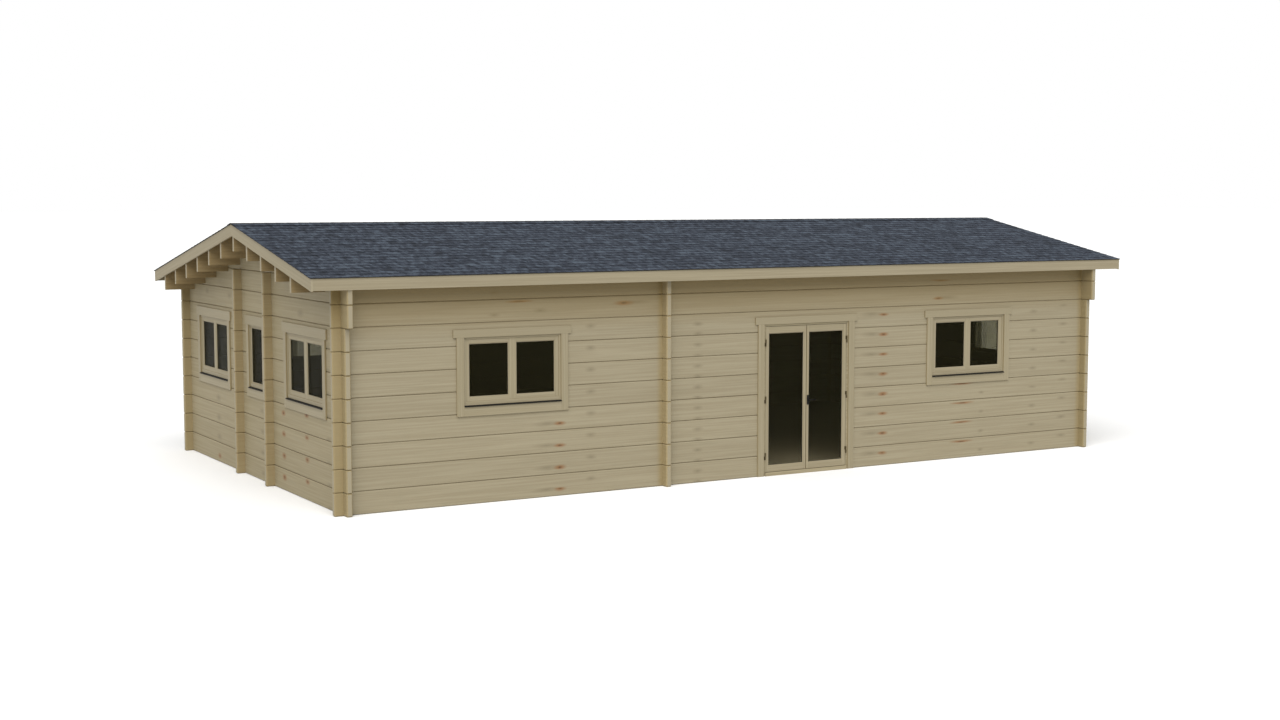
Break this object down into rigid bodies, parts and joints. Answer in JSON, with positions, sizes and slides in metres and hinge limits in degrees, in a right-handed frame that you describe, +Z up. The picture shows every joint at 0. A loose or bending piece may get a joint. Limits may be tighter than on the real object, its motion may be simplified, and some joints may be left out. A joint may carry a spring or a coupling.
{
  "type": "log cabin",
  "caption": "Long log cabin with notched corners, a low saddle roof on purlins, a glazed double door that opens outwards and double windows on every side.",
  "frame": {"origin": "on the ground, under the middle of the roof's outline", "axes": "+X along the front wall to the right, +Y from the front to the back, +Z up"},
  "size_m": [12.284, 6.599, 3.3193],
  "materials": {
    "log_wood": "planed raw spruce logs",
    "beam_wood": "planed raw spruce beams",
    "board_wood": "planed raw spruce boards",
    "trim_wood": "planed raw spruce trim",
    "joinery_wood": "planed glued pine",
    "glass": "clear double glazing",
    "shingles": "slate-coloured mineral granules on bitumen",
    "hinge_steel": "galvanised",
    "black_metal": "black powder coat"
  },
  "bodies": {
    "cabin": {"back_barge_boards": "trim_wood", "back_roof_deck": "board_wood", "back_shingles": "shingles", "back_wall": "log_wood", "back_window_casings": "trim_wood", "back_window_frames": "joinery_wood", "back_window_sashes": "joinery_wood", "door_casing": "trim_wood", "door_frame": "joinery_wood", "door_frame_hinges": "hinge_steel", "door_threshold": "trim_wood", "eaves_boards": "trim_wood", "floor_bearers": "beam_wood", "floor_boards": "board_wood", "front_barge_boards": "trim_wood", "front_roof_deck": "board_wood", "front_shingles": "shingles", "front_wall_left": "log_wood", "front_wall_over_door": "log_wood", "front_wall_right": "log_wood", "front_window_casings": "trim_wood", "front_window_frames": "joinery_wood", "front_window_sashes": "joinery_wood", "left_gable_log_ends": "log_wood", "left_gable_wall": "log_wood", "left_window_casings": "trim_wood", "left_window_frames": "joinery_wood", "left_window_sashes": "joinery_wood", "long_wall_log_ends": "log_wood", "purlins": "beam_wood", "ridge_shingles": "shingles", "right_gable_wall": "log_wood", "right_window_casings": "trim_wood", "right_window_frames": "joinery_wood", "right_window_sashes": "joinery_wood", "window_glass": "glass", "window_sills": "black_metal"},
    "left_leaf": {"left_door_leaf": "joinery_wood", "left_door_glass": "glass", "left_leaf_hinges": "hinge_steel"},
    "right_leaf": {"right_door_leaf": "joinery_wood", "right_door_glass": "glass", "right_leaf_hinges": "hinge_steel", "door_handles": "black_metal"}
  },
  "joints": [
    {"name": "left_leaf_swing", "type": "hinge", "parent": "cabin", "child": "left_leaf", "pos_m": [0.1066, -3.0555, 1], "axis": [0, 0, -1], "range_deg": [0, 110]},
    {"name": "right_leaf_swing", "type": "hinge", "parent": "cabin", "child": "right_leaf", "pos_m": [1.4096, -3.0555, 1], "axis": [0, 0, 1], "range_deg": [0, 110]}
  ]
}
